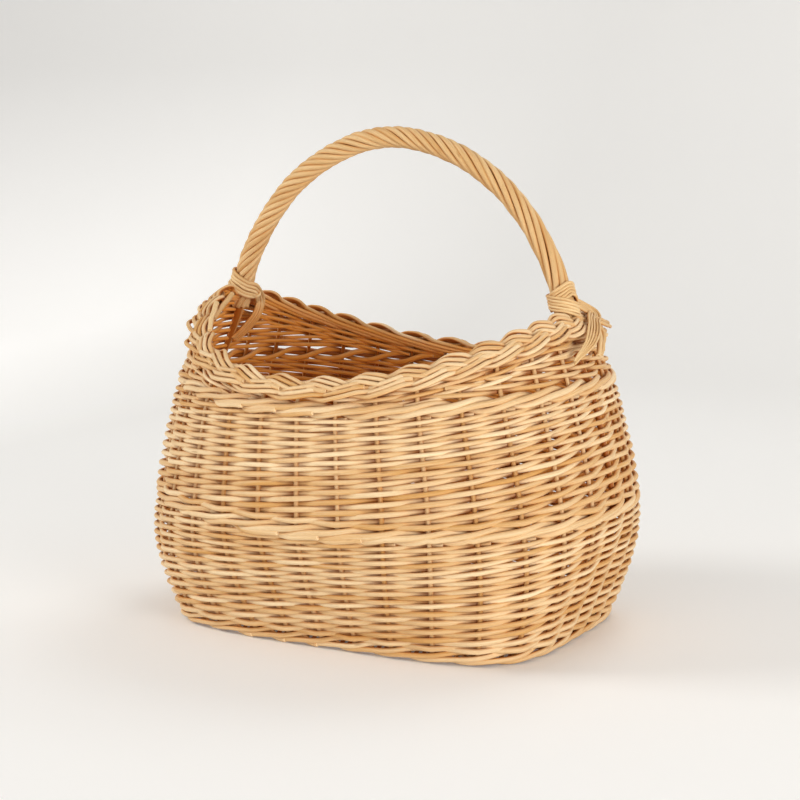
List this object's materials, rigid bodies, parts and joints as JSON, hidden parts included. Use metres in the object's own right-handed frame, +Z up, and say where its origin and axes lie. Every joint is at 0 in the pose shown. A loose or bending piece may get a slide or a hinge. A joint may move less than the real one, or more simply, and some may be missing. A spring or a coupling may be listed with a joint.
{
  "type": "basket",
  "caption": "peeled willow shopping basket with a rectangular base, bellied randed walls, waled bands, saddle-shaped plaited border and a fixed roped bow handle",
  "frame": {"origin": "on the ground, under the middle of the basket", "axes": "+Z up, X along the handle and the long way of the basket, Y across its width"},
  "size_m": [0.4406, 0.3602, 0.4448],
  "materials": {
    "willow_weave": "peeled and buffed willow, unvarnished, satin",
    "willow_stakes": "peeled willow stakes and sticks, satin",
    "willow_handle": "peeled willow rods, slightly polished by handling"
  },
  "bodies": {
    "root": {"base_stick_1": "willow_stakes", "base_stick_2": "willow_stakes", "base_stick_3": "willow_stakes", "base_stick_4": "willow_stakes", "base_stick_5": "willow_stakes", "base_stick_6": "willow_stakes", "base_stick_7": "willow_stakes", "base_stick_8": "willow_stakes", "base_weave": "willow_weave", "border_plait": "willow_weave", "bottom_wale": "willow_weave", "handle_bow": "willow_handle", "lashing_left": "willow_handle", "lashing_right": "willow_handle", "packing_left": "willow_weave", "packing_right": "willow_weave", "roping_rod_1": "willow_handle", "roping_rod_2": "willow_handle", "roping_rod_3": "willow_handle", "roping_rod_4": "willow_handle", "roping_rod_5": "willow_handle", "roping_rod_6": "willow_handle", "roping_rod_7": "willow_handle", "roping_rod_8": "willow_handle", "siding_lower": "willow_weave", "siding_upper": "willow_weave", "stake_01": "willow_stakes", "stake_02": "willow_stakes", "stake_03": "willow_stakes", "stake_04": "willow_stakes", "stake_05": "willow_stakes", "stake_06": "willow_stakes", "stake_07": "willow_stakes", "stake_08": "willow_stakes", "stake_09": "willow_stakes", "stake_10": "willow_stakes", "stake_11": "willow_stakes", "stake_12": "willow_stakes", "stake_13": "willow_stakes", "stake_14": "willow_stakes", "stake_15": "willow_stakes", "stake_16": "willow_stakes", "stake_17": "willow_stakes", "stake_18": "willow_stakes", "stake_19": "willow_stakes", "stake_20": "willow_stakes", "stake_21": "willow_stakes", "stake_22": "willow_stakes", "stake_23": "willow_stakes", "stake_24": "willow_stakes", "stake_25": "willow_stakes", "stake_26": "willow_stakes", "stake_27": "willow_stakes", "stake_28": "willow_stakes", "stake_29": "willow_stakes", "stake_30": "willow_stakes", "top_wale": "willow_weave", "waist_wale": "willow_weave"}
  },
  "joints": []
}
